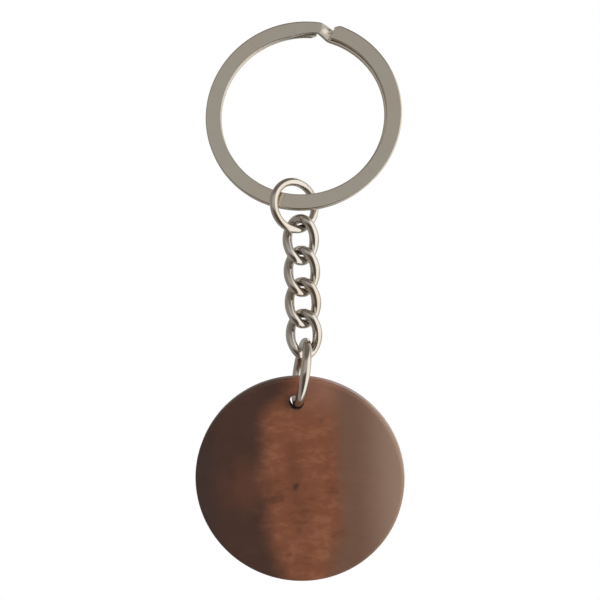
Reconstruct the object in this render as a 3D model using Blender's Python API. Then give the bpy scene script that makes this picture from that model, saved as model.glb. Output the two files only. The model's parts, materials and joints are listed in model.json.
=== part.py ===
"""Wooden disc keyring: a flat split ring, a jump ring, four curb chain links, a larger jump ring and a
drilled, lacquered wooden disc, hanging as it is held by the top of the split ring.

Metres, +Z up, -Y towards the viewer, +X to the viewer's right. The origin is the point where the split
ring hangs: the top of its inner wall. Run it with blender --background --python part.py, or from the
text editor.
"""

from math import asin, atan2, copysign, cos, pi, radians, sin, sqrt, tan

import bmesh
import bpy
from mathutils import Matrix, Vector

MM = 0.001

# Clearances
PLAY = 0.2 * MM
COIL_GAP = 0.08 * MM
SEAM_GAP = 0.08 * MM
CUT_OVERRUN = 0.5 * MM

# Split ring: one flat strip wound nearly twice round, which steps back where its turns cross
RING_DIAMETER = 30.0 * MM
STRIP_WIDTH = 2.4 * MM
STRIP_THICKNESS = 0.6 * MM
STRIP_EDGE_RADIUS = 0.16 * MM
STRIP_END_BREAK = 0.45 * MM
REAR_END_BREAK = 0.8 * MM
FRONT_END_FLARE = 0.25 * MM
REAR_COIL_TUCK = 0.25 * MM
STEP_PINCH = 0.35 * MM
RING_TILT = radians(15.9)
RING_TILT_ROLL = radians(21.0)
FRONT_END_ANGLE = radians(17.9)
STEP_ANGLE = radians(10.0)
REAR_END_ANGLE = radians(0.5)
EASE_OUT_ANGLE = radians(200.0)

# Upper jump ring, which passes in front of the strip on the left and behind it on the right
UPPER_RING_DIAMETER = 8.6 * MM
UPPER_RING_WIRE = 1.25 * MM
UPPER_RING_DROP = 0.5 * MM
UPPER_RING_PLAY = 0.75 * MM
UPPER_RING_PLACE = radians(184.1)
UPPER_RING_SEAM = radians(8.0)
UPPER_RING_HANG = radians(12.0)

# Curb chain: oval links, each twisted along its length so that the chain lies flat
LINK_COUNT = 4
LINK_LENGTH = 7.84 * MM
LINK_WIDTH = 5.5 * MM
LINK_WIRE = 1.42 * MM
LINK_TWIST = radians(90.0)
LINK_SQUARENESS = 2.5
LINK_SEAM = radians(140.0)
CHAIN_LEAN = radians(1.95)

# Lower jump ring, seen nearly edge on
LOWER_RING_DIAMETER = 10.7 * MM
LOWER_RING_WIRE = 1.38 * MM
LOWER_RING_PLAY = 0.6 * MM
LOWER_RING_SHIFT = 0.2 * MM
LOWER_RING_YAW = radians(7.0)
LOWER_RING_LEAN = radians(7.7)
LOWER_RING_SEAM = radians(340.0)

# Wooden disc
DISC_DIAMETER = 32.0 * MM
DISC_THICKNESS = 2.4 * MM
DISC_EDGE_RADIUS = 0.5 * MM
HOLE_PLAY = 1.1 * MM
HOLE_TO_RIM = 2.5 * MM
HOLE_EDGE_BREAK = 0.1 * MM
HOLE_SEAT_ANGLE = radians(12.0)
HOLE_WIRE_REST = 0.85
DISC_TILT = radians(12.6)
DISC_TILT_ROLL = radians(19.5)
DISC_LEAN = radians(1.9)

# Facets, and the most of a wall that a rounding may take
COIL_STEPS = 56
STEP_STEPS = 8
STRIP_CORNER_STEPS = 2
RING_STEPS = 40
LINK_STEPS = 40
WIRE_RESOLUTION = 3
DISC_STEPS = 84
DISC_EDGE_STEPS = 4
HOLE_STEPS = 24
SMOOTH_ANGLE = radians(35.0)
ROUNDING_SHARE = 0.45
WELD_SHARE = 0.25

RIGHT = Vector((1.0, 0.0, 0.0))
AWAY = Vector((0.0, 1.0, 0.0))
UP = Vector((0.0, 0.0, 1.0))

# Colours as sRGB
STEEL = (0.60, 0.56, 0.52)
CHAIN_STEEL = (0.62, 0.59, 0.54)
WOOD = (0.42, 0.25, 0.18)


def clear_scene():
    for obj in list(bpy.data.objects):
        bpy.data.objects.remove(obj, do_unlink=True)


def material(name, srgb, metallic, roughness):
    made = bpy.data.materials.new(name)
    made.use_nodes = True
    shader = made.node_tree.nodes["Principled BSDF"]
    linear = [((c + 0.055) / 1.055) ** 2.4 for c in srgb]
    shader.inputs["Base Color"].default_value = (*linear, 1.0)
    shader.inputs["Metallic"].default_value = metallic
    shader.inputs["Roughness"].default_value = roughness
    made.diffuse_color = (*linear, 1.0)
    return made


def frame_matrix(origin, right, away, up):
    turn = Matrix((right, away, up)).transposed().to_4x4()
    return Matrix.Translation(origin) @ turn


def attach(obj, world, parent=None):
    """Links the object, under its parent if it has one, and places it in the world."""
    bpy.context.scene.collection.objects.link(obj)
    obj.parent = parent
    bpy.context.view_layer.update()
    obj.matrix_world = world
    return obj


def joint_pivot(name, point, axis, parent):
    """An empty on a joint's axis, with its own Z along that axis. The moving piece is parented to it."""
    empty = bpy.data.objects.new(name, None)
    empty.empty_display_type = "SINGLE_ARROW"
    empty.empty_display_size = LINK_LENGTH
    turn = axis.to_track_quat("Z", "Y").to_matrix().to_4x4()
    return attach(empty, Matrix.Translation(point) @ turn, parent)


def finished_mesh(name, bm):
    bmesh.ops.recalc_face_normals(bm, faces=bm.faces)
    mesh = bpy.data.meshes.new(name)
    bm.to_mesh(mesh)
    bm.free()
    mesh.shade_smooth()
    mesh.set_sharp_from_angle(angle=SMOOTH_ANGLE)
    return mesh


def turned_mesh(name, profile, steps):
    """Spins a profile of (radius, place along Y) round the Y axis."""
    bm = bmesh.new()
    verts = [bm.verts.new((radius, along, 0.0)) for radius, along in profile]
    edges = [bm.edges.new(pair) for pair in zip(verts, verts[1:])]
    centre = (0.0, 0.0, 0.0)
    bmesh.ops.spin(
        bm, geom=verts + edges, axis=AWAY, cent=centre, angle=2.0 * pi, steps=steps, use_merge=True
    )
    bmesh.ops.remove_doubles(bm, verts=bm.verts, dist=COIL_GAP * WELD_SHARE)
    return finished_mesh(name, bm)


# Split ring


def ease(share):
    share = min(max(share, 0.0), 1.0)
    return share * share * (3.0 - 2.0 * share)


def strip_step_start():
    return 2.0 * pi - STEP_ANGLE


def strip_pinch(turned):
    """How much narrower the strip is drawn at its inner side, where it steps back."""
    before = ease((turned - strip_step_start() + STEP_ANGLE) / STEP_ANGLE)
    after = ease((turned - strip_step_start()) / STEP_ANGLE)
    return STEP_PINCH * (before - after)


def strip_middle(turned):
    """The middle of the strip, this far round from its front end, about the ring's centre."""
    stepped = ease((turned - strip_step_start()) / STEP_ANGLE)
    flare = FRONT_END_FLARE * (1.0 - ease(turned / EASE_OUT_ANGLE))
    tuck = REAR_COIL_TUCK * stepped * (1.0 - ease((turned - 2.0 * pi) / EASE_OUT_ANGLE))
    radius = (RING_DIAMETER - STRIP_WIDTH) / 2.0 + flare - tuck + strip_pinch(turned) / 2.0
    layer = (STRIP_THICKNESS + COIL_GAP) * (stepped - 0.5)
    angle = FRONT_END_ANGLE + turned
    return Vector((radius * sin(angle), layer, radius * cos(angle)))


def strip_section(width):
    """A rectangle with rounded corners, as (across the width, across the thickness)."""
    radius = min(STRIP_EDGE_RADIUS, STRIP_THICKNESS * ROUNDING_SHARE)
    points = []
    for corner in range(4):
        across = copysign(width / 2.0 - radius, (1, -1, -1, 1)[corner])
        through = copysign(STRIP_THICKNESS / 2.0 - radius, (1, 1, -1, -1)[corner])
        for step in range(STRIP_CORNER_STEPS + 1):
            angle = (corner + step / STRIP_CORNER_STEPS) * pi / 2.0
            points.append((across + radius * cos(angle), through + radius * sin(angle)))
    return points


def strip_stations():
    """How far round each cross-section lies, with its width, which the two cut ends narrow."""
    middle_radius = (RING_DIAMETER - STRIP_WIDTH) / 2.0
    start = strip_step_start()
    end = start + 2.0 * pi - REAR_END_ANGLE
    first = STRIP_END_BREAK / middle_radius
    last = end - REAR_END_BREAK / middle_radius
    turns = [0.0]
    turns += [first + (start - first) * i / COIL_STEPS for i in range(COIL_STEPS)]
    turns += [start + STEP_ANGLE * i / STEP_STEPS for i in range(STEP_STEPS)]
    turns += [2.0 * pi + (last - 2.0 * pi) * i / COIL_STEPS for i in range(COIL_STEPS + 1)]
    turns.append(end)
    widths = [STRIP_WIDTH - strip_pinch(turned) for turned in turns]
    widths[0] = max(STRIP_WIDTH - STRIP_END_BREAK, STRIP_WIDTH / 2.0)
    widths[-1] = max(STRIP_WIDTH - REAR_END_BREAK, STRIP_WIDTH / 2.0)
    return zip(turns, widths)


def split_ring_mesh():
    bm = bmesh.new()
    loops = []
    nudge = STEP_ANGLE / STEP_STEPS / 4.0
    for turned, width in strip_stations():
        middle = strip_middle(turned)
        along = (strip_middle(turned + nudge) - strip_middle(turned - nudge)).normalized()
        outward = Vector((middle.x, 0.0, middle.z)).normalized()
        outward = (outward - along * outward.dot(along)).normalized()
        back = outward.cross(along)
        loops.append([bm.verts.new(middle + outward * a + back * b) for a, b in strip_section(width)])
    for first, second in zip(loops, loops[1:]):
        for i in range(len(first)):
            j = (i + 1) % len(first)
            bm.faces.new((first[i], first[j], second[j], second[i]))
    bm.faces.new(loops[0])
    bm.faces.new(loops[-1])
    return finished_mesh("split_ring", bm)


# Wire pieces: each is one length of round wire, bent until its two cut ends meet


def wire_object(name, points, wire, metal):
    curve = bpy.data.curves.new(name, "CURVE")
    curve.dimensions = "3D"
    curve.bevel_depth = wire / 2.0
    curve.bevel_resolution = WIRE_RESOLUTION
    curve.use_fill_caps = True
    spline = curve.splines.new("POLY")
    spline.points.add(len(points) - 1)
    for place, point in zip(spline.points, points):
        place.co = (*point, 1.0)
    curve.materials.append(metal)
    return bpy.data.objects.new(name, curve)


def open_angles(seam, radius, steps):
    """Angles all the way round from one cut end at the seam to the other."""
    half = SEAM_GAP / 2.0 / radius
    return [seam + half + (2.0 * pi - 2.0 * half) * i / steps for i in range(steps + 1)]


def ring_points(radius, seam):
    """A ring about the origin in the XZ plane, angles from +X towards +Z."""
    angles = open_angles(seam, radius, RING_STEPS)
    return [Vector((radius * cos(angle), 0.0, radius * sin(angle))) for angle in angles]


def link_half_length():
    return (LINK_LENGTH - LINK_WIRE) / 2.0


def link_points():
    """An oval about the origin, long along Z, twisted about Z: its top runs from left rear to right front."""
    half_length = link_half_length()
    half_width = (LINK_WIDTH - LINK_WIRE) / 2.0
    points = []
    for angle in open_angles(LINK_SEAM, half_length, LINK_STEPS):
        x = half_width * copysign(abs(cos(angle)) ** (2.0 / LINK_SQUARENESS), cos(angle))
        z = half_length * copysign(abs(sin(angle)) ** (2.0 / LINK_SQUARENESS), sin(angle))
        turn = -LINK_TWIST / 2.0 * z / half_length
        points.append(Vector((x * cos(turn), x * sin(turn), z)))
    return points


# Wooden disc, as profiles of (radius, place along its axis)


def hole_radius():
    return (LOWER_RING_WIRE + HOLE_PLAY) / 2.0


def disc_profile():
    """A flat disc with both edges rounded over."""
    radius = DISC_DIAMETER / 2.0
    half = DISC_THICKNESS / 2.0
    edge = min(DISC_EDGE_RADIUS, DISC_THICKNESS * ROUNDING_SHARE)
    profile = [(0.0, -half)]
    for side in (-1.0, 1.0):
        for step in range(DISC_EDGE_STEPS + 1):
            angle = pi / 2.0 * step / DISC_EDGE_STEPS
            angle = angle if side < 0.0 else pi / 2.0 - angle
            profile.append((radius - edge + edge * sin(angle), side * (half - edge + edge * cos(angle))))
    profile.append((0.0, half))
    return profile


def hole_profile():
    """A drill that opens out at both faces of the disc, so that the hole's edges are broken."""
    radius = hole_radius()
    half = DISC_THICKNESS / 2.0
    wide = radius + HOLE_EDGE_BREAK + CUT_OVERRUN
    return [
        (0.0, -half - CUT_OVERRUN),
        (wide, -half - CUT_OVERRUN),
        (radius, -half + HOLE_EDGE_BREAK),
        (radius, half - HOLE_EDGE_BREAK),
        (wide, half + CUT_OVERRUN),
        (0.0, half + CUT_OVERRUN),
    ]


# The assembly, from the hanging point down. Each function returns what the next piece hangs from.


def add_split_ring(metal):
    """Leaning back about an axis that is turned a little, with the top of its inner wall at the origin."""
    tilt_axis = RIGHT * cos(RING_TILT_ROLL) + UP * sin(RING_TILT_ROLL)
    away = Matrix.Rotation(-RING_TILT, 3, tilt_axis) @ AWAY
    up = (UP - away * away.dot(UP)).normalized()
    right = away.cross(up)
    centre = -up * (RING_DIAMETER / 2.0 - STRIP_WIDTH)
    ring = bpy.data.objects.new("split_ring", split_ring_mesh())
    attach(ring, frame_matrix(centre, right, away, up))
    ring.data.materials.append(metal)
    return ring, centre, right, away, up


def add_upper_ring(metal, split_ring, ring_centre, ring_right, ring_away, ring_up):
    """Turned just far enough to pass on both sides of the strip. It slides round the split ring."""
    radius = (UPPER_RING_DIAMETER - UPPER_RING_WIRE) / 2.0
    inward = -(ring_right * sin(UPPER_RING_PLACE) + ring_up * cos(UPPER_RING_PLACE))
    along = ring_away.cross(inward)
    reach = STRIP_WIDTH / 2.0 + UPPER_RING_DROP
    stack = 2.0 * STRIP_THICKNESS + COIL_GAP
    turn = asin(((stack + UPPER_RING_WIRE) / 2.0 + UPPER_RING_PLAY) / sqrt(radius**2 - reach**2))
    right = along * cos(turn) + ring_away * sin(turn)
    centre = ring_centre - inward * ((RING_DIAMETER - STRIP_WIDTH) / 2.0 + UPPER_RING_DROP)
    pivot = joint_pivot("pivot_upper_jump_ring", ring_centre, -ring_away, split_ring)
    ring = wire_object("upper_jump_ring", ring_points(radius, UPPER_RING_SEAM), UPPER_RING_WIRE, metal)
    attach(ring, frame_matrix(centre, right, inward.cross(right), inward), pivot)
    low = atan2(-inward.z, -right.z) + UPPER_RING_HANG
    hang = centre + right * radius * cos(low) + inward * radius * sin(low)
    wire = inward * cos(low) - right * sin(low)
    return ring, hang, wire.normalized()


def add_chain(metal, above, hang, hang_wire):
    """Every link hangs in the one above, its end wire across the other's, and turns about the crossing."""
    up = Matrix.Rotation(-CHAIN_LEAN, 3, "Y") @ UP
    right = AWAY.cross(up)
    top_wire = Matrix.Rotation(-LINK_TWIST / 2.0, 3, up) @ right
    bottom_wire = Matrix.Rotation(LINK_TWIST / 2.0, 3, up) @ right
    half = link_half_length()
    top = hang + up * ((UPPER_RING_WIRE + LINK_WIRE) / 2.0 + PLAY)
    low = top
    for number in range(1, LINK_COUNT + 1):
        if number == 1:
            place, axis = hang, hang_wire
        elif number % 2 == 0:
            place, axis = top, top_wire
        else:
            place, axis = low, bottom_wire
        pivot = joint_pivot(f"pivot_chain_link_{number}", place, axis, above)
        above = wire_object(f"chain_link_{number}", link_points(), LINK_WIRE, metal)
        attach(above, frame_matrix(top - up * half, right, AWAY, up), pivot)
        low = top - up * half * 2.0
        top = low + up * (LINK_WIRE + PLAY)
    return above, low, bottom_wire, up, right


def add_lower_ring(metal, link, link_low, link_wire, chain_up, chain_right):
    radius = (LOWER_RING_DIAMETER - LOWER_RING_WIRE) / 2.0
    turn = Matrix.Rotation(LOWER_RING_LEAN, 3, "Y") @ Matrix.Rotation(LOWER_RING_YAW, 3, "Z")
    front = turn @ -AWAY
    up = turn @ UP
    top = link_low + chain_up * ((LINK_WIRE + LOWER_RING_WIRE) / 2.0 + LOWER_RING_PLAY)
    centre = top + chain_right * LOWER_RING_SHIFT - up * radius
    pivot = joint_pivot("pivot_lower_jump_ring", link_low, link_wire, link)
    ring = wire_object("lower_jump_ring", ring_points(radius, LOWER_RING_SEAM), LOWER_RING_WIRE, metal)
    attach(ring, frame_matrix(centre, -front, up.cross(-front), up), pivot)
    seat = centre - (up * cos(HOLE_SEAT_ANGLE) + front * sin(HOLE_SEAT_ANGLE)) * radius
    seat_wire = front * cos(HOLE_SEAT_ANGLE) - up * sin(HOLE_SEAT_ANGLE)
    return ring, seat, seat_wire.normalized()


def add_disc(lacquered_wood, lower_ring, seat, seat_wire):
    """The wire lies low in the hole, by a share of the play that its slant through the hole leaves."""
    tilt_axis = RIGHT * cos(DISC_TILT_ROLL) - UP * sin(DISC_TILT_ROLL)
    turn = Matrix.Rotation(DISC_TILT, 3, tilt_axis) @ Matrix.Rotation(-DISC_LEAN, 3, "Y")
    right, away, up = turn @ RIGHT, turn @ AWAY, turn @ UP
    slant = DISC_THICKNESS / 2.0 * tan(seat_wire.angle(-away))
    room = sqrt(max((HOLE_PLAY / 2.0 - PLAY) ** 2 - slant**2, 0.0))
    hole_centre = seat + up * room * HOLE_WIRE_REST
    centre = hole_centre - up * (DISC_DIAMETER / 2.0 - HOLE_TO_RIM - hole_radius())
    pivot = joint_pivot("pivot_wooden_disc", seat, seat_wire, lower_ring)
    disc = bpy.data.objects.new("wooden_disc", turned_mesh("wooden_disc", disc_profile(), DISC_STEPS))
    attach(disc, frame_matrix(centre, right, away, up), pivot)
    disc.data.materials.append(lacquered_wood)
    drill = bpy.data.objects.new("hole_drill", turned_mesh("hole_drill", hole_profile(), HOLE_STEPS))
    drill.hide_render = True
    drill.display_type = "WIRE"
    attach(drill, frame_matrix(hole_centre, right, away, up), disc)
    hole = disc.modifiers.new("hole", "BOOLEAN")
    hole.operation = "DIFFERENCE"
    hole.solver = "EXACT"
    hole.object = drill


def build():
    clear_scene()
    steel = material("nickel_steel", STEEL, 1.0, 0.22)
    chain_steel = material("nickel_wire", CHAIN_STEEL, 1.0, 0.18)
    lacquered_wood = material("lacquered_wood", WOOD, 0.0, 0.38)
    split_ring = add_split_ring(steel)
    upper_ring = add_upper_ring(steel, *split_ring)
    chain = add_chain(chain_steel, *upper_ring)
    lower_ring = add_lower_ring(chain_steel, *chain)
    add_disc(lacquered_wood, *lower_ring)


build()
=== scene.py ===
"""Wooden disc keyring: a polished split ring, a jump ring, four curb chain links, a larger jump ring and a
lacquered wooden disc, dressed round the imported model. It is laid out as an add-on and run as a script."""

import json
from math import asin, copysign, cos, pi, radians, sin, sqrt

import bmesh
import bpy
from bpy.props import FloatProperty, FloatVectorProperty, IntProperty, PointerProperty
from mathutils import Matrix, Vector


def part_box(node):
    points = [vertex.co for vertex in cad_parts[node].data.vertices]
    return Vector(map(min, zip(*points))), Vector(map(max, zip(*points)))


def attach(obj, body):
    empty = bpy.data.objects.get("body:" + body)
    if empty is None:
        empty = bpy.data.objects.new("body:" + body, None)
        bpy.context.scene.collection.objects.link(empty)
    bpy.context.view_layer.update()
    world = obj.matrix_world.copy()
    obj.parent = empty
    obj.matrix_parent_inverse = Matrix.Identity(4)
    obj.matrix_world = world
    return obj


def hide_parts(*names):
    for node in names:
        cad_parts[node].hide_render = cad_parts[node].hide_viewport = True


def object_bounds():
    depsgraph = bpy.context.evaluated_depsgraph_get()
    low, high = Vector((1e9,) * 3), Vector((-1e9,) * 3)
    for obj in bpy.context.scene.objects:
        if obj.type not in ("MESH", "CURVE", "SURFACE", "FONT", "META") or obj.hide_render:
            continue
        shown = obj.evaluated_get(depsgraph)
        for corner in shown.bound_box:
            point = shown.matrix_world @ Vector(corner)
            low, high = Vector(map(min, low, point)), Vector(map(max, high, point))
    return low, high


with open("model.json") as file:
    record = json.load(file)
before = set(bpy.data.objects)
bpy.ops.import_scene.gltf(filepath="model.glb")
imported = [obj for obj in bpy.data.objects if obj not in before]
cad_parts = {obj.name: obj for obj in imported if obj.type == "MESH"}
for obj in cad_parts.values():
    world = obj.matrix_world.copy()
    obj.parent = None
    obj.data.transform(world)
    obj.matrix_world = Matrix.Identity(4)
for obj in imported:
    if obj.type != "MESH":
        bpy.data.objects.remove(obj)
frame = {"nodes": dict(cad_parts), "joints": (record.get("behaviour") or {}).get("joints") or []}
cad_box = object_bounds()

bl_info = {
    "name": "Wooden disc keyring",
    "version": (1, 0, 0),
    "blender": (4, 5, 0),
    "location": "3D View > Sidebar > Keyring",
    "description": "Makes a split ring, its short curb chain and a lacquered wooden disc",
    "category": "Object",
}

MM = 0.001
RIGHT = Vector((1.0, 0.0, 0.0))
AWAY = Vector((0.0, 1.0, 0.0))
UP = Vector((0.0, 0.0, 1.0))

# Angles in degrees past which an edge of a piece shades sharp
EDGE_SHARPNESS = 35.0
WIRE_SHARPNESS = 50.0


def length(name, description, default):
    return FloatProperty(
        name=name,
        description=description,
        default=default,
        min=0.0,
        unit="LENGTH",
        subtype="DISTANCE",
        precision=5,
    )


def angle(name, description, degrees):
    return FloatProperty(
        name=name, description=description, default=radians(degrees), unit="ROTATION", subtype="ANGLE"
    )


def share(name, description, default):
    return FloatProperty(
        name=name, description=description, default=default, min=0.0, max=1.0, subtype="FACTOR"
    )


def colour(name, description, default):
    return FloatVectorProperty(
        name=name, description=description, default=default, size=3, min=0.0, max=1.0, subtype="COLOR_GAMMA"
    )


def glow(name, description, default):
    return FloatVectorProperty(
        name=name, description=description, default=default, size=3, min=0.0, subtype="COLOR"
    )


def number(name, description, default, **settings):
    return FloatProperty(name=name, description=description, default=default, **settings)


def count(name, description, default):
    return IntProperty(name=name, description=description, default=default, min=3)


# Sizes and colours


class SplitRingSettings(bpy.types.PropertyGroup):
    diameter: length("Diameter", "Across the outside of the split ring", 30.0 * MM)
    strip_width: length("Strip width", "Across the flat face of the strip", 2.4 * MM)
    strip_thickness: length("Strip thickness", "Through one turn of the strip", 0.6 * MM)
    edge_radius: length("Edge radius", "Rounding of the strip's long edges", 0.2 * MM)
    edge_steps: count("Edge steps", "Facets over a rounded edge", 5)
    coil_gap: length("Gap between turns", "The thin line seen between the two turns", 0.08 * MM)
    end_break: length("Front end break", "How far the front end's outer corner is cut away", 0.5 * MM)
    end_slant: length("Front end slant", "How far along the strip that cut runs", 0.8 * MM)
    rear_break: length("Rear end break", "How much narrower the rear cut end is", 0.8 * MM)
    end_flare: length("Front end flare", "How far the front end springs outward", 0.25 * MM)
    rear_tuck: length("Rear turn tuck", "How far the rear turn sits inward by the step", 0.3 * MM)
    step_pinch: length("Step pinch", "How far the inner edge comes in where the step starts", 0.55 * MM)
    step_dip: length("Step dip", "How far the outer edge dips beside the front end", 0.35 * MM)
    dent_reach: length("Dent reach", "Half the length of the dent in the step", 1.05 * MM)
    dent_flatness: number("Dent flatness", "Its length over its height", 1.7, min=0.5)
    dent_depth: length("Dent depth", "Depth of that dent", 0.13 * MM)
    dent_place: angle("Dent place", "Where that dent is, from the top", 14.9)
    dent_rise: length("Dent rise", "How far it lies outside the strip's middle line", 0.35 * MM)
    front_end: angle("Front end", "Where the front turn starts, from the top", 17.9)
    step: angle("Step", "How far round the strip takes to step back", 10.0)
    rear_end: angle("Rear end", "How far the rear turn stops short of the step", 0.5)
    ease_out: angle("Ease out", "How far round flare and tuck fade out", 200.0)
    steps: count("Steps a turn", "Cross-sections in one turn of the strip", 180)
    step_steps: count("Steps at the step", "Cross-sections through the step", 48)
    across: count("Steps across", "Quads across the strip's flat face", 12)


class JumpRingSettings(bpy.types.PropertyGroup):
    upper_diameter: length("Upper diameter", "Across the outside of the upper jump ring", 8.6 * MM)
    upper_wire: length("Upper wire", "Thickness of the upper jump ring's wire", 1.25 * MM)
    upper_place: angle("Upper place", "Where the upper ring hangs on the split ring", 184.1)
    upper_drop: length("Upper drop", "How far its centre hangs below the strip", 0.5 * MM)
    upper_play: length("Upper play", "Clearance between the wire and the strip", 0.75 * MM)
    upper_seam: angle("Upper seam", "Where the upper ring's cut ends meet", 8.0)
    lower_diameter: length("Lower diameter", "Across the outside of the lower jump ring", 10.7 * MM)
    lower_wire: length("Lower wire", "Thickness of the lower jump ring's wire", 1.38 * MM)
    lower_swell: share("Lower swell", "How much thicker its front and back are", 0.12)
    lower_yaw: angle("Lower yaw", "Turn of the lower ring about the upright", 7.0)
    lower_lean: angle("Lower lean", "Lean of the lower ring to the side", 7.7)
    lower_seam: angle("Lower seam", "Where the lower ring's cut ends meet", 340.0)
    seam_gap: length("Seam gap", "Gap between the cut ends of a wire", 0.08 * MM)
    end_break: length("End break", "Broken edge of each cut end", 0.05 * MM)
    steps: count("Steps round", "Cross-sections round a jump ring", 120)
    wire_sides: count("Wire sides", "Sides of the round wire", 24)


class ChainSettings(bpy.types.PropertyGroup):
    link_length: length("Link length", "Along one link, outside", 7.85 * MM)
    link_width: length("Link width", "Across one link's bends, outside", 5.51 * MM)
    link_wire: length("Link wire", "Thickness of a link's wire", 1.43 * MM)
    swell: share("Swell", "How much thicker the legs are in the middle", 0.07)
    twist: angle("Twist", "Turn of a link from one end to the other", 90.0)
    squareness: number("Squareness", "2 is an oval, more is squarer", 2.5, min=1.5, max=6.0)
    seam: angle("Seam", "Where a link's cut ends meet", 140.0)
    lean: angle("Lean", "Lean of the whole chain to the side", 1.95)
    steps: count("Steps round", "Cross-sections round a link", 96)


class MetalSettings(bpy.types.PropertyGroup):
    strip_colour: colour("Strip colour", "Nickel plate on the split ring", (0.785, 0.762, 0.718))
    strip_warm: colour("Strip warm tone", "Warmer clouds in that plate", (0.80, 0.757, 0.708))
    wire_colour: colour("Wire colour", "Nickel plate on the wire pieces", (0.82, 0.80, 0.775))
    wire_warm: colour("Wire warm tone", "Warmer clouds in that plate", (0.80, 0.76, 0.715))
    # Painted shade: a brown darkening of the plate where two pieces of metal lie close
    crevice_shade: colour("Crevice shade", "Painted brown shade where two pieces of metal lie close", (0.66, 0.615, 0.57))
    strip_roughness: share("Strip roughness", "Roughness of the split ring", 0.22)
    wire_roughness: share("Wire roughness", "Roughness of the wire pieces", 0.17)


class DiscSettings(bpy.types.PropertyGroup):
    diameter: length("Diameter", "Across the wooden disc", 32.0 * MM)
    thickness: length("Thickness", "Through the wooden disc", 2.4 * MM)
    edge_radius: length("Edge radius", "Rounding of the disc's rim", 0.5 * MM)
    hole_diameter: length("Hole diameter", "Across the drilled hole", 2.16 * MM)
    hole_to_rim: length("Hole to rim", "Wood left between the hole and the rim", 2.66 * MM)
    hole_break: length("Hole edge", "Broken edge of the hole", 0.12 * MM)
    hole_edge_steps: count("Hole edge steps", "Facets over the hole's broken edge", 3)
    tilt: angle("Tilt", "How far the disc leans out of the chain's plane", 12.6)
    tilt_roll: angle("Tilt direction", "Turn of the axis that it leans about", 19.5)
    lean: angle("Lean", "Turn of the disc in its own plane", 1.9)
    steps: count("Steps round", "Facets round the rim", 192)
    hole_steps: count("Hole steps", "Facets round the hole", 48)
    edge_steps: count("Edge steps", "Facets over the rounded rim", 6)
    heart_colour: colour("Heartwood", "Red-brown band down the middle", (0.53, 0.33, 0.225))
    heart_light: colour("Light figure", "Lighter flecks in that band", (0.595, 0.39, 0.275))
    heart_dark: colour("Dark figure", "Darker flecks in that band", (0.455, 0.28, 0.195))
    left_colour: colour("Left side", "Dark brown wood left of the band", (0.295, 0.21, 0.178))
    left_edge: colour("Left edge", "Darker, greyer wood towards the left rim", (0.25, 0.20, 0.19))
    left_red: colour("Left patch", "Redder patch in that wood", (0.385, 0.245, 0.19))
    # The right side is grey-brown wood with part of a painted sheen on it, and towards the right rim it
    # turns paler with painted sheen
    right_wood_and_sheen: colour("Right side", "Grey-brown wood with painted sheen right of the band", (0.475, 0.365, 0.30))
    right_rim_sheen: colour("Right rim sheen", "Painted sheen towards the right rim", (0.63, 0.545, 0.475))
    rosy_colour: colour("Top of the band", "Paler, rosier wood at the upper right", (0.60, 0.435, 0.365))
    knot_colour: colour("Knots", "Small dark knots", (0.13, 0.085, 0.07))
    speck_colour: colour("Specks", "A few pale specks in the lacquer", (0.72, 0.66, 0.60))
    wall_colour: colour("Drilled wall", "Raw wood inside the hole", (0.38, 0.30, 0.28))
    wall_dark: colour("Drilled wall, dark grain", "Darker grain in that wall", (0.27, 0.20, 0.185))


class StageSettings(bpy.types.PropertyGroup):
    camera_distance: length("Camera distance", "From the camera to the keyring's plane", 805.0 * MM)
    camera_up: length("Camera up", "From the keyring's middle", 0.155 * MM)
    lens: number("Lens", "Focal length in millimetres", 314.4, min=1.0)
    floor_drop: length("Floor drop", "How far the floor lies below the hanging point", 300.0 * MM)
    floor_width: length("Floor width", "Across the plain floor", 6000.0 * MM)
    floor_colour: colour("Floor colour", "Pale floor", (0.93, 0.93, 0.92))
    floor_lift: share("Floor lift", "How much paler the floor is to the camera alone", 0.3)
    key_power: number("Key power", "Right softbox", 1.7, min=0.0, unit="POWER")
    fill_power: number("Fill power", "Upper left softbox", 0.5, min=0.0, unit="POWER")
    sky: glow("Sky", "Even light from all round", (0.62, 0.62, 0.62))
    window: glow("Window", "The room to the right, as the metal mirrors it", (1.42, 1.39, 1.33))
    far_wall: glow("Far wall", "The wall past the bright side", (0.62, 0.60, 0.57))
    front: glow("Front", "The room behind the camera, as the metal mirrors it", (0.54, 0.53, 0.51))
    low_front: glow("Low front", "The room behind and below the camera", (0.11, 0.085, 0.065))
    left: glow("Left", "The room to the left", (0.34, 0.31, 0.29))
    ceiling: glow("Ceiling", "The room overhead", (0.20, 0.18, 0.16))
    backdrop: glow("Backdrop", "The white backdrop behind, on its lit side", (1.30, 1.28, 1.24))
    backdrop_shade: glow("Backdrop shade", "The left and the foot of the backdrop", (0.40, 0.39, 0.37))


# Meshes


def placed(centre, right, away, up):
    """A matrix that puts a shape at the centre, turned to these three directions."""
    return Matrix.Translation(centre) @ Matrix((right, away, up)).transposed().to_4x4()


def box_middle(node):
    low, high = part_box(node)
    return (low + high) / 2.0


def joint_named(name):
    return next(joint for joint in frame["joints"] if joint["name"] == name)


def ring_frame():
    """The split ring's centre, and its right, away and up, from the joint that slides round it."""
    joint = joint_named("upper_jump_ring_slide_round")
    away = -Vector(joint["axis"])
    up = (UP - away * away.z).normalized()
    return Vector(joint["pos_m"]), away.cross(up), away, up


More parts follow.
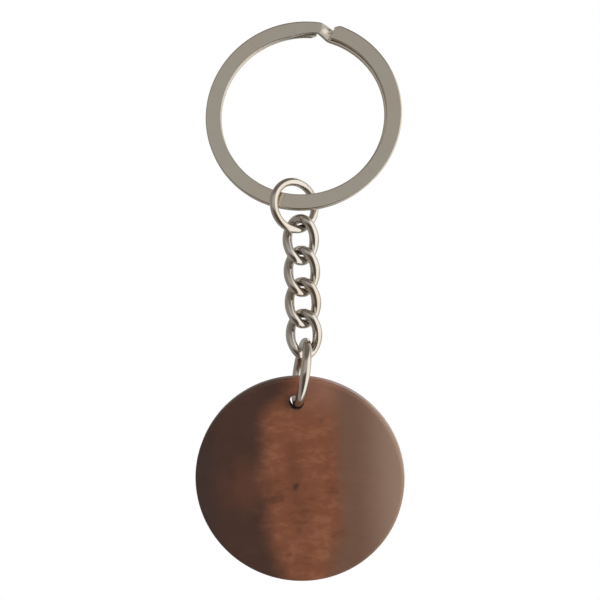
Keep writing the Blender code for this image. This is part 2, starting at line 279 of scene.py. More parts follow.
def swept(bm, edges, stations):
    """Extrudes a closed loop of edges from the first station to the last, and caps both ends."""
    first = edges
    for before, after in zip(stations, stations[1:]):
        grown = bmesh.ops.extrude_edge_only(bm, edges=edges)["geom"]
        verts = {item for item in grown if isinstance(item, bmesh.types.BMVert)}
        grown_edges = [item for item in grown if isinstance(item, bmesh.types.BMEdge)]
        edges = [edge for edge in grown_edges if verts.issuperset(edge.verts)]
        bmesh.ops.transform(bm, matrix=after @ before.inverted(), verts=list(verts))
    for end in (first, edges):
        bmesh.ops.edgeloop_fill(bm, edges=end)
    return first, edges


def wire_loop(bm, wire, sides, matrix):
    """A circle of wire to sweep, in the plane that the matrix turns Z away from."""
    made = bmesh.ops.create_circle(bm, radius=wire / 2.0, segments=sides, matrix=matrix)
    return list({edge for vert in made["verts"] for edge in vert.link_edges})


def break_edges(bm, geom, width, segments=2, affect="EDGES"):
    """Rounds edges, or the corners of a flat outline, by this width."""
    bmesh.ops.bevel(
        bm,
        geom=geom,
        offset=width,
        offset_type="OFFSET",
        segments=segments,
        profile=0.5,
        affect=affect,
        material=-1,
    )


def along_path(points, away):
    """Matrices that follow the points, each with its Z along the path."""
    stations = []
    for i, point in enumerate(points):
        ahead = points[min(i + 1, len(points) - 1)] - points[max(i - 1, 0)]
        forward = ahead.normalized()
        side = stations[-1].to_3x3().col[0] if stations else away
        side = (side - forward * side.dot(forward)).normalized()
        stations.append(placed(point, side, forward.cross(side), forward))
    return stations


def finish_piece(name, bm, finishes, node, sharp=EDGE_SHARPNESS):
    """Makes the object, smooth but for edges past this angle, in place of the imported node."""
    bmesh.ops.recalc_face_normals(bm, faces=bm.faces)
    mesh = bpy.data.meshes.new(name)
    bm.to_mesh(mesh)
    bm.free()
    mesh.shade_smooth()
    mesh.set_sharp_from_angle(angle=radians(sharp))
    for finish in finishes:
        mesh.materials.append(finish)
    piece = bpy.data.objects.new(name, mesh)
    bpy.context.scene.collection.objects.link(piece)
    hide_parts(node)
    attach(piece, node)


# Split ring

# Where cross-sections lie along a slanted end, as shares of its length from the tip
END_SHARES = (0.0, 0.15, 0.4, 0.7)
# How far before and after the step's end the cross-sections lie close, in steps
DENSE_BEFORE, DENSE_AFTER = 1.3, 0.2
# Part of a step over which the strip's direction is measured
NUDGE_SHARE = 1.0 / 32.0
# How hollow the front end's cut is: 1 is straight
CUT_CURVE = 1.5


def ease(value):
    """From 0 to 1, level at both ends."""
    value = min(max(value, 0.0), 1.0)
    return value * value * (3.0 - 2.0 * value)


def ramped(value, rounding=0.2):
    """From 0 to 1 at an even slope, with both ends rounded."""
    value = min(max(value, 0.0), 1.0)
    if value > 0.5:
        return 1.0 - ramped(1.0 - value, rounding)
    if value < rounding:
        return value * value / (2.0 * rounding * (1.0 - rounding))
    return (value - rounding / 2.0) / (1.0 - rounding)


def strip_pinch(ring, turned):
    """How much the inner edge and the outer edge come in at the step."""
    done = (turned - 2.0 * pi + ring.step) / ring.step
    inner = ease(done / 2.0 + 1.0) - ease(done)
    outer = ease(done) - ease(done - 1.0)
    return ring.step_pinch * inner, ring.step_dip * outer


def strip_middle(ring, turned):
    """The middle of the strip this far round from its front end, about the ring's centre."""
    stepped = ramped((turned - 2.0 * pi + ring.step) / ring.step)
    flare = ring.end_flare * (1.0 - ease(turned / ring.ease_out))
    tuck = ring.rear_tuck * stepped * (1.0 - ease((turned - 2.0 * pi) / ring.ease_out))
    inner, outer = strip_pinch(ring, turned)
    radius = (ring.diameter - ring.strip_width) / 2.0 + flare - tuck + (inner - outer) / 2.0
    layer = (ring.strip_thickness + ring.coil_gap) * (stepped - 0.5)
    place = ring.front_end + turned
    return Vector((radius * sin(place), layer, radius * cos(place)))


def evenly(start, end, steps):
    return [start + (end - start) * i / steps for i in range(steps + 1)]


def strip_stations(ring):
    """Cross-sections from the front end to the rear end, narrowed at the step and the ends."""
    nudge = ring.step * NUDGE_SHARE
    end = 4.0 * pi - ring.step - ring.rear_end
    middle_radius = (ring.diameter - ring.strip_width) / 2.0
    front = ring.end_slant / middle_radius
    rear = ring.rear_break / middle_radius
    dense_start = 2.0 * pi - DENSE_BEFORE * ring.step
    dense_end = 2.0 * pi + DENSE_AFTER * ring.step
    even = evenly(front, end - rear, 2 * ring.steps)
    turns = [front * part for part in END_SHARES]
    turns += [turned for turned in even if turned < dense_start]
    turns += evenly(dense_start, dense_end, ring.step_steps)
    turns += [turned for turned in even if turned > dense_end]
    turns += [end - rear * part for part in reversed(END_SHARES)]
    stations = []
    for turned in turns:
        middle = strip_middle(ring, turned)
        forward = (strip_middle(ring, turned + nudge) - strip_middle(ring, turned - nudge)).normalized()
        outward = Vector((middle.x, 0.0, middle.z)).normalized()
        outward = (outward - forward * outward.dot(forward)).normalized()
        past_front = 1.0 - min(turned / front, 1.0)
        past_rear = 1.0 - min(max((end - turned) / rear, 0.0), 1.0)
        cut = ring.end_break * past_front**CUT_CURVE
        lost = sum(strip_pinch(ring, turned)) + cut + ring.rear_break * past_rear
        narrowed = Matrix.Diagonal((1.0 - lost / ring.strip_width, 1.0, 1.0, 1.0))
        turn = placed(middle - outward * cut / 2.0, outward, forward.cross(outward), forward)
        stations.append(turn @ narrowed)
    return stations


def strip_loop(bm, ring):
    """A rectangle with rounded corners, across the strip, its long sides cut up for the dent."""
    made = bmesh.ops.create_grid(bm, x_segments=1, y_segments=1, size=0.5)
    bmesh.ops.scale(bm, vec=(ring.strip_width, ring.strip_thickness, 1.0), verts=made["verts"])
    break_edges(bm, made["verts"], ring.edge_radius, ring.edge_steps, "VERTICES")
    bmesh.ops.delete(bm, geom=list(bm.faces), context="FACES_ONLY")
    long = [edge for edge in bm.edges if edge.calc_length() > ring.strip_width / 2.0]
    bmesh.ops.subdivide_edges(bm, edges=long, cuts=ring.across - 1)
    return list(bm.edges)


def press_dent(bm, ring, whole):
    """Presses the strip back in an oval patch of its step."""
    back = whole.inverted()
    away = whole.to_3x3() @ AWAY
    middle = (ring.diameter - ring.strip_width - ring.step_dip) / 2.0 + ring.dent_rise
    for vert in bm.verts:
        local = back @ vert.co
        x = local.x - middle * sin(ring.dent_place)
        z = (local.z - middle * cos(ring.dent_place)) * ring.dent_flatness
        vert.co += away * ring.dent_depth * ease(1.0 - sqrt(x * x + z * z) / ring.dent_reach)


class KEYRING_OT_split_ring(bpy.types.Operator):
    """Make the split ring: one flat strip wound twice, with a stepped crossing"""

    bl_idname = "keyring.split_ring"
    bl_label = "Split Ring"

    def execute(self, context):
        ring = context.scene.keyring_ring
        whole = placed(*ring_frame())
        stations = [whole @ station for station in strip_stations(ring)]
        bm = bmesh.new()
        edges = strip_loop(bm, ring)
        bmesh.ops.transform(bm, matrix=stations[0], verts=bm.verts)
        swept(bm, edges, stations)
        press_dent(bm, ring, whole)
        finish_piece("polished_split_ring", bm, [strip_metal(context, whole)], "split_ring")
        return {"FINISHED"}


# Jump rings

# How soon a jump ring's swell fades from its front and back: more is sooner
SWELL_POWER = 4


def jump_ring(name, diameter, wire, seam, swell, whole, metal, node, jump):
    """Spins a circle of wire round to its seam, breaks the cut edges and swells two sides."""
    radius = (diameter - wire) / 2.0
    gap = jump.seam_gap / radius
    start = seam + gap / 2.0
    out = Vector((cos(start), 0.0, sin(start)))
    bm = bmesh.new()
    first = wire_loop(bm, wire, jump.wire_sides, placed(out * radius, out, AWAY, out.cross(AWAY)))
    made = bmesh.ops.spin(
        bm,
        geom=list(bm.verts) + first,
        cent=(0.0, 0.0, 0.0),
        axis=-AWAY,
        angle=2.0 * pi - gap,
        steps=jump.steps,
        use_merge=False,
    )
    last = [item for item in made["geom_last"] if isinstance(item, bmesh.types.BMEdge)]
    for end in (first, last):
        bmesh.ops.edgeloop_fill(bm, edges=end)
    break_edges(bm, first + last, jump.end_break)
    for vert in bm.verts:
        outward = Vector((vert.co.x, 0.0, vert.co.z)).normalized()
        vert.co = outward * radius + (vert.co - outward * radius) * (1.0 + swell * outward.x**SWELL_POWER)
    bmesh.ops.transform(bm, matrix=whole, verts=bm.verts)
    finish_piece(name, bm, [metal], node, WIRE_SHARPNESS)


class KEYRING_OT_jump_rings(bpy.types.Operator):
    """Make the upper and the lower jump ring of round wire"""

    bl_idname = "keyring.jump_rings"
    bl_label = "Jump Rings"

    def execute(self, context):
        jump = context.scene.keyring_jump
        ring = context.scene.keyring_ring
        metal = wire_metal(context)
        _, ring_right, away, ring_up = ring_frame()
        inward = -(ring_right * sin(jump.upper_place) + ring_up * cos(jump.upper_place))
        radius = (jump.upper_diameter - jump.upper_wire) / 2.0
        reach = ring.strip_width / 2.0 + jump.upper_drop
        stack = 2.0 * ring.strip_thickness + ring.coil_gap
        turn = asin(((stack + jump.upper_wire) / 2.0 + jump.upper_play) / sqrt(radius**2 - reach**2))
        right = away.cross(inward) * cos(turn) + away * sin(turn)
        whole = placed(box_middle("upper_jump_ring"), right, inward.cross(right), inward)
        jump_ring(
            "upper_wire_ring",
            jump.upper_diameter,
            jump.upper_wire,
            jump.upper_seam,
            0.0,
            whole,
            metal,
            "upper_jump_ring",
            jump,
        )
        turned = Matrix.Rotation(jump.lower_lean, 3, "Y") @ Matrix.Rotation(jump.lower_yaw, 3, "Z")
        back = turned @ AWAY
        up = turned @ UP
        whole = placed(box_middle("lower_jump_ring"), back, up.cross(back), up)
        jump_ring(
            "lower_wire_ring",
            jump.lower_diameter,
            jump.lower_wire,
            jump.lower_seam,
            jump.lower_swell,
            whole,
            metal,
            "lower_jump_ring",
            jump,
        )
        return {"FINISHED"}


# Chain

# How soon a link's swell fades from the middle of its legs: 1 is only at its ends
LEG_FADE = 1.8


def link_points(chain, jump):
    """An oval about the origin, long along Z, twisted about Z."""
    half_length = (chain.link_length - chain.link_wire) / 2.0
    half_width = (chain.link_width - chain.link_wire) / 2.0
    half_gap = jump.seam_gap / 2.0 / half_length
    power = 2.0 / chain.squareness
    points = []
    for place in evenly(chain.seam + half_gap, chain.seam + 2.0 * pi - half_gap, chain.steps):
        x = half_width * copysign(abs(cos(place)) ** power, cos(place))
        z = half_length * copysign(abs(sin(place)) ** power, sin(place))
        turn = -chain.twist / 2.0 * z / half_length
        points.append(Vector((x * cos(turn), x * sin(turn), z)))
    return points


class KEYRING_OT_chain(bpy.types.Operator):
    """Make the four twisted links of the curb chain"""

    bl_idname = "keyring.chain"
    bl_label = "Curb Chain"

    def execute(self, context):
        chain = context.scene.keyring_chain
        jump = context.scene.keyring_jump
        metal = wire_metal(context)
        up = Matrix.Rotation(-chain.lean, 3, "Y") @ UP
        right = AWAY.cross(up)
        half = (chain.link_length - chain.link_wire) / 2.0
        links = sorted(node for node in frame["nodes"] if node.startswith("chain_link_"))
        for number, node in enumerate(links, 1):
            whole = placed(box_middle(node), right, AWAY, up)
            stations = []
            for station in along_path(link_points(chain, jump), AWAY):
                thick = 1.0 + chain.swell * ease(1.0 - LEG_FADE * abs(station.translation.z) / half)
                stations.append(whole @ station @ Matrix.Diagonal((thick, thick, 1.0, 1.0)))
            bm = bmesh.new()
            first = wire_loop(bm, chain.link_wire, jump.wire_sides, stations[0])
            ends = swept(bm, first, stations)
            break_edges(bm, [edge for end in ends for edge in end], jump.end_break)
            finish_piece(f"curb_link_{number}", bm, [metal], node, WIRE_SHARPNESS)
        return {"FINISHED"}


# Wooden disc

# In radians, the turn past which two faces meet at a corner to break
CORNER_TURN = 1.0
# A face whose normal has at least this much of the disc's axis is flat
FLAT_SHARE = 0.9999


class KEYRING_OT_disc(bpy.types.Operator):
    """Make the drilled and lacquered wooden disc"""

    bl_idname = "keyring.disc"
    bl_label = "Wooden Disc"

    def execute(self, context):
        disc = context.scene.keyring_disc
        tilt_axis = RIGHT * cos(disc.tilt_roll) - UP * sin(disc.tilt_roll)
        turned = Matrix.Rotation(disc.tilt, 3, tilt_axis) @ Matrix.Rotation(-disc.lean, 3, "Y")
        whole = placed(box_middle("wooden_disc"), turned @ RIGHT, turned @ AWAY, turned @ UP)
        hole_up = disc.diameter / 2.0 - disc.hole_to_rim - disc.hole_diameter / 2.0
        # The outline is drawn flat in XY and stood up: its Y becomes the disc's up.
        stood = whole @ Matrix.Rotation(pi / 2.0, 4, "X")
        bm = bmesh.new()
        bmesh.ops.create_circle(bm, radius=disc.diameter / 2.0, segments=disc.steps)
        place = Matrix.Translation((0.0, hole_up, 0.0))
        bmesh.ops.create_circle(bm, radius=disc.hole_diameter / 2.0, segments=disc.hole_steps, matrix=place)
        bmesh.ops.translate(bm, vec=(0.0, 0.0, -disc.thickness / 2.0), verts=bm.verts)
        bmesh.ops.triangle_fill(bm, use_beauty=True, edges=bm.edges)
        grown = bmesh.ops.extrude_face_region(bm, geom=list(bm.faces))["geom"]
        top = [item for item in grown if isinstance(item, bmesh.types.BMVert)]
        bmesh.ops.translate(bm, vec=(0.0, 0.0, disc.thickness), verts=top)
        bmesh.ops.recalc_face_normals(bm, faces=bm.faces)
        joined = [edge for edge in bm.edges if len(edge.link_faces) == 2]
        corners = [edge for edge in joined if edge.calc_face_angle() > CORNER_TURN]
        rim = [edge for edge in corners if edge.verts[0].co.xy.length > hole_up + disc.hole_diameter]
        mouth = [edge for edge in corners if edge not in set(rim)]
        break_edges(bm, rim, disc.edge_radius, disc.edge_steps)
        break_edges(bm, [edge for edge in mouth if edge.is_valid], disc.hole_break, disc.hole_edge_steps)
        bm.normal_update()
        flat = [face for face in bm.faces if abs(face.normal.z) > FLAT_SHARE]
        bmesh.ops.inset_region(bm, faces=flat, thickness=disc.hole_break, use_even_offset=True)
        reach = disc.hole_diameter / 2.0 + disc.hole_break
        for face in bm.faces:
            if (face.calc_center_median().xy - Vector((0.0, hole_up))).length < reach:
                face.material_index = 1
        bmesh.ops.transform(bm, matrix=stood, verts=bm.verts)
        hole = whole @ Vector((0.0, 0.0, hole_up))
        finishes = [disc_wood(context, whole, hole), drilled_wall(context)]
        finish_piece("lacquered_disc", bm, finishes, "wooden_disc")
        return {"FINISHED"}


# Materials

# Scales of the noises, in features to a metre
CLOUDS = 110.0
SCRATCHES = 900.0
STRIP_WAVES = 160.0
ROLLING_LINES = 5000.0
RUBBED_SPOTS = 600.0
WIRE_WAVES = 420.0
END_GRAIN = 2600.0

# Depths of the small marks
WAVE_DEPTH = 0.03 * MM
SCRATCH_DEPTH = 0.003 * MM
ROLLING_DEPTH = 0.002 * MM
GRAIN_DEPTH = 0.02 * MM
CURL_DEPTH = 0.012 * MM
FIBRE_DEPTH = 0.004 * MM

# How close another surface has to be for the painted crevice shade
STRIP_SHADE_REACH = 0.15 * MM
WIRE_SHADE_REACH = 0.45 * MM

# What a vector is multiplied by to lie flat in the face of the ring or disc
FLAT = (1.0, 0.0, 1.0)


def opaque(tone):
    return (*tone, 1.0)


def linear(srgb):
    return opaque(c / 12.92 if c <= 0.04045 else ((c + 0.055) / 1.055) ** 2.4 for c in srgb)


class NodeMaker:
    """Adds nodes to one tree. A value that is a socket is linked, and any other is set."""

    def __init__(self, tree):
        self.tree = tree

    def add(self, kind, values=None, **settings):
        node = self.tree.nodes.new(kind)
        for key, value in settings.items():
            setattr(node, key, value)
        for key, value in (values or {}).items():
            self.put(node.inputs[key], value)
        return node

    def put(self, socket, value):
        if isinstance(value, bpy.types.NodeSocket):
            self.tree.links.new(value, socket)
        else:
            socket.default_value = value

    def math(self, operation, *values):
        return self.add("ShaderNodeMath", dict(enumerate(values)), operation=operation).outputs[0]

    def product(self, first, *others):
        for other in others:
            first = self.math("MULTIPLY", first, other)
        return first

    def shifted(self, amount, share_of_it, start):
        """The start plus a share of how far the amount, a noise, is from its middle."""
        return self.math("MULTIPLY_ADD", self.math("SUBTRACT", amount, 0.5), share_of_it, start)

    def vector(self, operation, *values):
        settings = dict(enumerate(values))
        return self.add("ShaderNodeVectorMath", settings, operation=operation).outputs

    def mix(self, factor, a, b, blend="MIX"):
        values = {0: factor, 6: a, 7: b}
        return self.add("ShaderNodeMix", values, data_type="RGBA", blend_type=blend).outputs[2]

    def layered(self, base, *layers):
        """Lays each colour over what is below it, by its factor."""
        for factor, tone in layers:
            base = self.mix(factor, base, tone)
        return base

    def ramp(self, value, low, high, to_low=0.0, to_high=1.0):
        values = {0: value, 1: low, 2: high, 3: to_low, 4: to_high}
        return self.add("ShaderNodeMapRange", values, interpolation_type="SMOOTHSTEP").outputs[0]

    def noise(self, vector, scale, detail=3.0, roughness=0.5, distortion=0.0):
        values = {"Vector": vector, "Scale": scale, "Detail": detail}
        values.update({"Roughness": roughness, "Distortion": distortion})
        return self.add("ShaderNodeTexNoise", values).outputs[0]

    def mapped(self, vector, scale=(1.0, 1.0, 1.0), location=(0.0, 0.0, 0.0), turn=(0.0, 0.0, 0.0)):
        values = {0: vector, 1: location, 2: turn, 3: scale}
        return self.add("ShaderNodeMapping", values).outputs[0]

    def bump(self, height, distance, strength=1.0, normal=None):
        values = {"Height": height, "Distance": distance, "Strength": strength}
        if normal is not None:
            values["Normal"] = normal
        return self.add("ShaderNodeBump", values).outputs[0]


def new_material(name):
    material = bpy.data.materials.new(name)
    material.use_nodes = True
    return material, NodeMaker(material.node_tree), material.node_tree.nodes["Principled BSDF"]


def own_place(make, whole):
    """Object coordinates in the piece's own frame, from the matrix that placed it."""
    coordinates = make.add("ShaderNodeTexCoord").outputs["Object"]
    back = whole.inverted()
    return make.mapped(coordinates, location=back.to_translation(), turn=back.to_euler("XYZ"))


def plate(make, shader, place, cool, warm, roughness, crevice_shade, reach):
    """Nickel plate: soft clouds of tone, painted shade where other metal lies close, fine scratches and
    small changes of gloss.
    """
    cloud = make.ramp(make.noise(place, CLOUDS, 2.0), 0.35, 0.65)
    clean = make.mix(cloud, linear(cool), linear(warm))
    # Painted shade: the plate turns darker and browner where another surface lies close
    near = make.add("ShaderNodeAmbientOcclusion", {"Distance": reach}, samples=8).outputs["AO"]
    tone = make.mix(make.ramp(near, 0.75, 0.35), clean, linear(crevice_shade))
    make.put(shader.inputs["Base Color"], tone)
    wear = make.noise(place, SCRATCHES, 4.0, 0.6)
    gloss = make.ramp(wear, 0.3, 0.75, roughness * 0.9, roughness * 1.2)
    make.put(shader.inputs["Roughness"], gloss)
    shader.inputs["Metallic"].default_value = 1.0
    return wear


def strip_metal(context, whole):
    """The split ring's plate, with fine rolling lines that follow the strip round."""
    metal = context.scene.keyring_metal
    ring = context.scene.keyring_ring
    material, make, shader = new_material("polished_strip")
    place = own_place(make, whole)
    tones = (metal.strip_colour, metal.strip_warm, metal.strip_roughness, metal.crevice_shade)
    wear = plate(make, shader, place, *tones, STRIP_SHADE_REACH)
    out = make.vector("LENGTH", make.vector("MULTIPLY", place, FLAT)[0])["Value"]
    lines = make.add("ShaderNodeCombineXYZ", {0: out})
    rolled = make.noise(lines.outputs[0], ROLLING_LINES, 2.0)
    normal = make.bump(make.noise(place, STRIP_WAVES, 2.0), WAVE_DEPTH, 0.5)
    normal = make.bump(rolled, ROLLING_DEPTH, 0.25, normal)
    normal = make.bump(wear, SCRATCH_DEPTH, 0.25, normal)
    inner = ring.diameter / 2.0 - ring.strip_width
    wall = make.ramp(out, inner + ring.edge_radius, inner + ring.edge_radius / 2.0)
    rubbed = make.product(make.noise(place, RUBBED_SPOTS, 3.0, 0.6), wall)
    normal = make.bump(rubbed, ring.edge_radius / 3.0, 1.0, normal)
    make.put(shader.inputs["Normal"], normal)
    return material


def wire_metal(context):
    """Plate of the wire pieces, which all share it."""
    found = bpy.data.materials.get("polished_wire")
    if found:
        return found
    metal = context.scene.keyring_metal
    material, make, shader = new_material("polished_wire")
    place = make.add("ShaderNodeTexCoord").outputs["Object"]
    tones = (metal.wire_colour, metal.wire_warm, metal.wire_roughness, metal.crevice_shade)
    wear = plate(make, shader, place, *tones, WIRE_SHADE_REACH)
    normal = make.bump(make.noise(place, WIRE_WAVES, 1.0), WAVE_DEPTH, 0.4)
    normal = make.bump(wear, SCRATCH_DEPTH, 0.3, normal)
    make.put(shader.inputs["Normal"], normal)
    return material


def spot(make, flat, centre, radius, edge):
    """1 inside a round spot of the disc's face, and 0 outside."""
    apart = make.vector("DISTANCE", flat, centre)["Value"]
    return make.ramp(apart, radius + edge, max(radius - edge, 0.0))


def drilled_wall(context):
    """Bare end grain inside the hole."""
    material, make, shader = new_material("drilled_wall")
    place = make.add("ShaderNodeTexCoord").outputs["Object"]
    grain = make.noise(place, END_GRAIN, 3.0, 0.6)
    disc = context.scene.keyring_disc
    tone = make.mix(make.ramp(grain, 0.3, 0.7), linear(disc.wall_colour), linear(disc.wall_dark))
    make.put(shader.inputs["Base Color"], tone)
    make.put(shader.inputs["Roughness"], make.ramp(grain, 0.3, 0.7, 0.75, 0.95))
    shader.inputs["Specular IOR Level"].default_value = 0.15
    make.put(shader.inputs["Normal"], make.bump(grain, GRAIN_DEPTH, 0.5))
    return material


# Knots: where each is on the face, its radius and softness in shares of the disc's radius, its darkness
KNOTS = (
    ((-0.012, 0.0, -0.035), 0.026, 0.022, 0.62),
    ((0.01, 0.0, -0.46), 0.02, 0.03, 0.25),
    ((-0.09, 0.0, -0.7), 0.01, 0.03, 0.3),
)
# The redder patch in the left side, in the same way
RED_PATCH = (-0.52, 0.0, -0.05), 0.2, 0.2
# Painted shade round the hole, as darker wood, and how far left of the hole it lies
HOLE_SHADE, HOLE_SHADE_SHIFT, HOLE_SHADE_DARKNESS = (0.06, 0.08), 0.05, 0.5


def disc_wood(context, whole, hole):
    """Lacquered wood: a red-brown band between darker sides, a painted sheen on the right side, curly
    flecks, small knots and painted shade round the hole.
    """
    disc = context.scene.keyring_disc
    material, make, shader = new_material("satin_lacquered_wood")
    ramp = make.ramp
    half = 2.0 / disc.diameter
    scaling = {0: own_place(make, whole), 3: half}
    unit = make.add("ShaderNodeVectorMath", scaling, operation="SCALE").outputs[0]
    across, _, upward = make.add("ShaderNodeSeparateXYZ", {0: unit}).outputs
    flat = make.vector("MULTIPLY", unit, FLAT)[0]

    # Noises: the curly figure, broad clouds and fine fibres
    curls = make.noise(make.mapped(unit, (6.0, 6.0, 12.0)), 1.0, 4.0, 0.66, 0.45)
    clouds = make.noise(make.mapped(unit, (2.4, 2.4, 1.7), (3.0, 1.0, 2.0)), 1.0, 3.0, 0.6, 0.2)
    fine = make.noise(make.mapped(unit, (24.0, 24.0, 60.0)), 1.0, 3.0, 0.6)

    # Where the band ends to either side: its edges wander, and it narrows at the top and foot
    ragged = make.shifted(clouds, 0.15, make.shifted(curls, 0.10, across))
    lower = ramp(upward, -0.45, -1.0, 0.0, 0.14)
    upper = ramp(upward, 0.6, 0.95, 0.0, 0.24)
    leftward = make.math("SUBTRACT", make.math("SUBTRACT", ragged, lower), upper)
    to_left = ramp(leftward, -0.20, -0.46)
    to_right = ramp(make.math("ADD", ragged, lower), 0.30, 0.48)

    # The band: its figure, a darker streak down the middle and rosier wood at the top
    figure = make.math("MULTIPLY_ADD", clouds, 0.45, make.product(curls, 0.55))
    streak = make.product(ramp(ragged, 0.09, -0.05), ramp(ragged, -0.17, -0.05))
    streak = make.product(streak, make.product(ramp(upward, 0.5, 0.3), ramp(upward, -0.5, 0.0)))
    rosy = make.product(ramp(upward, 0.45, 0.95), ramp(across, -0.1, 0.25))
    heart = make.layered(
        linear(disc.heart_dark),
        (ramp(figure, 0.35, 0.5), linear(disc.heart_colour)),
        (ramp(figure, 0.5, 0.63), linear(disc.heart_light)),
        (make.product(streak, 0.6), linear(disc.heart_dark)),
        (make.product(rosy, 0.8), linear(disc.rosy_colour)),
    )

    # The sides: darker wood on the left, painted sheen on the right
    red = make.product(spot(make, flat, *RED_PATCH), ramp(clouds, 0.25, 0.5))
    left = make.layered(
        linear(disc.left_colour),
        (ramp(across, -0.65, -1.0), linear(disc.left_edge)),
        (red, linear(disc.left_red)),
    )
    # Painted sheen: the right side grows paler towards the rim, over grey-brown wood that already holds
    # part of that sheen
    right = make.mix(ramp(across, 0.5, 1.0), linear(disc.right_wood_and_sheen), linear(disc.right_rim_sheen))
    wood = make.layered(heart, (make.product(to_left, 0.94), left), (make.product(to_right, 0.88), right))
    fibres = make.mix(fine, linear(disc.heart_dark), linear(disc.heart_light))
    wood = make.mix(0.25, wood, fibres, "SOFT_LIGHT")

    # Knots with uneven outlines, painted shade round the hole, and pale specks
    swirl = make.add("ShaderNodeTexNoise", {"Vector": unit, "Scale": 14.0, "Detail": 2.0}).outputs["Color"]
    bent = make.vector("MULTIPLY_ADD", swirl, (0.05, 0.0, 0.05), flat)[0]
    hole_unit = whole.inverted() @ hole * half
    round_hole = (hole_unit.x - HOLE_SHADE_SHIFT, 0.0, hole_unit.z)
    # Painted shade: the wood darkened round the hole, a little to its left
    dark = make.product(spot(make, flat, round_hole, *HOLE_SHADE), HOLE_SHADE_DARKNESS)
    for centre, radius, softness, darkness in KNOTS:
        knot = make.product(spot(make, bent, centre, radius, softness), darkness)
        dark = make.math("MAXIMUM", dark, knot)
    cells = make.add("ShaderNodeTexVoronoi", {"Vector": flat, "Scale": 5.0, "Randomness": 1.0}).outputs
    chosen = make.add("ShaderNodeSeparateColor", {0: cells["Color"]}).outputs[0]
    speck = make.product(ramp(cells["Distance"], 0.06, 0.04), make.math("GREATER_THAN", chosen, 0.8), 0.6)
    wood = make.layered(wood, (dark, linear(disc.knot_colour)), (speck, linear(disc.speck_colour)))

    make.put(shader.inputs["Base Color"], wood)
    make.put(shader.inputs["Roughness"], ramp(curls, 0.3, 0.7, 0.34, 0.44))
    shader.inputs["Specular IOR Level"].default_value = 0.35
    shader.inputs["Coat Weight"].default_value = 0.2
    shader.inputs["Coat Roughness"].default_value = 0.38
    normal = make.bump(curls, CURL_DEPTH, 0.4)
    make.put(shader.inputs["Normal"], make.bump(fine, FIBRE_DEPTH, 0.4, normal))
    return material


# Stage

# Where each softbox stands, and its width and height
SOFTBOXES = {
    "right_softbox": ((0.42, -0.40, 0.12), (0.4, 0.7)),
    "left_softbox": ((-0.35, -0.45, 0.40), (0.3, 0.3)),
}
CAMERA_CLIP = 0.05, 50.0


def softbox(name, power, aim):
    place, size = SOFTBOXES[name]
    data = bpy.data.lights.new(name, "AREA")
    data.shape = "RECTANGLE"
    data.size, data.size_y = size
    data.energy = power
    lamp = bpy.data.objects.new(name, data)
    lamp.location = place
    lamp.rotation_euler = (Vector(aim) - Vector(place)).to_track_quat("-Z", "Y").to_euler()
    lamp.visible_camera = False
    lamp.visible_glossy = False
    bpy.context.scene.collection.objects.link(lamp)


def studio_room(make, stage):
    """What the metal mirrors in each direction: a plain room with one bright side and a white backdrop."""
    direction = make.add("ShaderNodeTexCoord").outputs["Generated"]
    x, y, z = make.add("ShaderNodeSeparateXYZ", {0: direction}).outputs
    ramp = make.ramp
    # The angle from the camera's side of the room round to the right
    turn = make.math("ARCTAN2", x, make.math("MULTIPLY", y, -1.0))
    before = make.layered(
        opaque(stage.front),
        (ramp(z, 0.15, -0.1), opaque(stage.low_front)),
        (ramp(turn, radians(-38.0), radians(-60.0)), opaque(stage.left)),
        (ramp(turn, radians(23.0), radians(41.0)), opaque(stage.window)),
    )
    behind = make.layered(
        opaque(stage.backdrop_shade),
        (ramp(x, 0.0, 0.25), opaque(stage.backdrop)),
        (ramp(z, -0.38, -0.52), opaque(stage.backdrop_shade)),
        (make.product(ramp(x, 0.45, 0.58), ramp(x, 0.96, 0.88)), opaque(stage.far_wall)),
    )
    return make.layered(before, (ramp(y, 0.0, 0.35), behind), (ramp(z, 0.62, 0.8), opaque(stage.ceiling)))


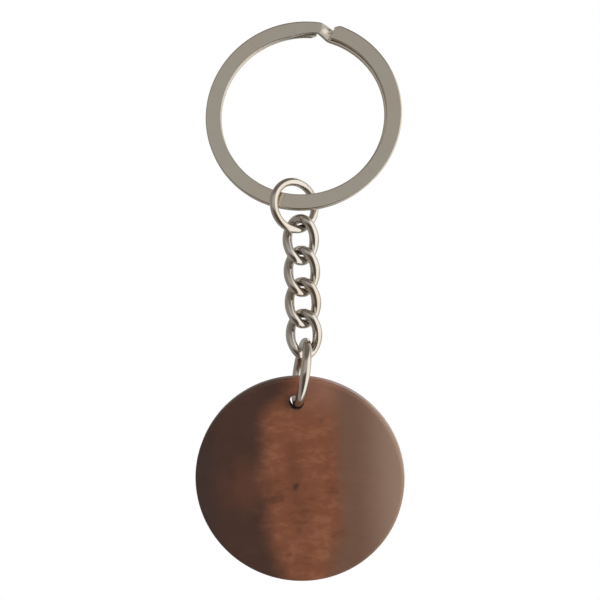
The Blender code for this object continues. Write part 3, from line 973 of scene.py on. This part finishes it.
class KEYRING_OT_stage(bpy.types.Operator):
    """Make the floor, the plain room round it, the softboxes and the camera"""

    bl_idname = "keyring.stage"
    bl_label = "Stage"

    def execute(self, context):
        stage = context.scene.keyring_stage
        low, high = cad_box
        middle = (low + high) / 2.0
        white = opaque((1.0, 1.0, 1.0))
        bm = bmesh.new()
        bmesh.ops.create_grid(bm, x_segments=2, y_segments=2, size=stage.floor_width / 2.0)
        bmesh.ops.translate(bm, vec=(0.0, 0.0, -stage.floor_drop), verts=bm.verts)
        mesh = bpy.data.meshes.new("plain_floor")
        bm.to_mesh(mesh)
        bm.free()
        floor = bpy.data.objects.new("plain_floor", mesh)
        context.scene.collection.objects.link(floor)
        material, make, shader = new_material("pale_floor")
        shader.inputs["Base Color"].default_value = linear(stage.floor_colour)
        shader.inputs["Roughness"].default_value = 0.9
        shader.inputs["Emission Color"].default_value = white
        seen = make.add("ShaderNodeLightPath").outputs["Is Camera Ray"]
        make.put(shader.inputs["Emission Strength"], make.product(seen, stage.floor_lift))
        mesh.materials.append(material)
        floor.visible_glossy = False

        world = bpy.data.worlds.new("studio")
        world.use_nodes = True
        context.scene.world = world
        make = NodeMaker(world.node_tree)
        background = world.node_tree.nodes["Background"]
        path = make.add("ShaderNodeLightPath").outputs
        light = make.mix(path["Is Glossy Ray"], opaque(stage.sky), studio_room(make, stage))
        seen = make.math("MAXIMUM", path["Is Camera Ray"], path["Is Transmission Ray"])
        make.put(background.inputs["Color"], make.mix(seen, light, white))
        background.inputs["Strength"].default_value = 1.0

        softbox("right_softbox", stage.key_power, middle)
        softbox("left_softbox", stage.fill_power, middle)

        data = bpy.data.cameras.new("camera")
        data.lens = stage.lens
        data.clip_start, data.clip_end = CAMERA_CLIP
        camera = bpy.data.objects.new("camera", data)
        camera.location = (middle.x, -stage.camera_distance, middle.z + stage.camera_up)
        camera.rotation_euler = (pi / 2.0, 0.0, 0.0)
        context.scene.collection.objects.link(camera)
        context.scene.camera = camera
        context.scene.view_settings.view_transform = "Standard"
        return {"FINISHED"}


# Panel and registration


class KEYRING_PT_panel(bpy.types.Panel):
    bl_label = "Keyring"
    bl_idname = "KEYRING_PT_panel"
    bl_space_type = "VIEW_3D"
    bl_region_type = "UI"
    bl_category = "Keyring"

    def draw(self, context):
        for operator, group in STEPS:
            box = self.layout.box()
            box.operator(operator.bl_idname)
            settings = getattr(context.scene, group)
            for name in settings.bl_rna.properties.keys():
                if name not in ("rna_type", "name"):
                    box.prop(settings, name)


GROUPS = {
    "keyring_ring": SplitRingSettings,
    "keyring_jump": JumpRingSettings,
    "keyring_chain": ChainSettings,
    "keyring_metal": MetalSettings,
    "keyring_disc": DiscSettings,
    "keyring_stage": StageSettings,
}
STEPS = (
    (KEYRING_OT_split_ring, "keyring_ring"),
    (KEYRING_OT_jump_rings, "keyring_jump"),
    (KEYRING_OT_chain, "keyring_chain"),
    (KEYRING_OT_disc, "keyring_disc"),
    (KEYRING_OT_stage, "keyring_stage"),
)
CLASSES = (*GROUPS.values(), *[operator for operator, _ in STEPS], KEYRING_PT_panel)


def register():
    for each in CLASSES:
        bpy.utils.register_class(each)
    for name, group in GROUPS.items():
        setattr(bpy.types.Scene, name, PointerProperty(type=group))


def unregister():
    for name in GROUPS:
        delattr(bpy.types.Scene, name)
    for each in reversed(CLASSES):
        bpy.utils.unregister_class(each)


def main():
    register()
    bpy.ops.keyring.split_ring()
    bpy.ops.keyring.jump_rings()
    bpy.ops.keyring.chain()
    bpy.ops.keyring.disc()
    bpy.ops.keyring.stage()


if __name__ == "__main__":
    main()
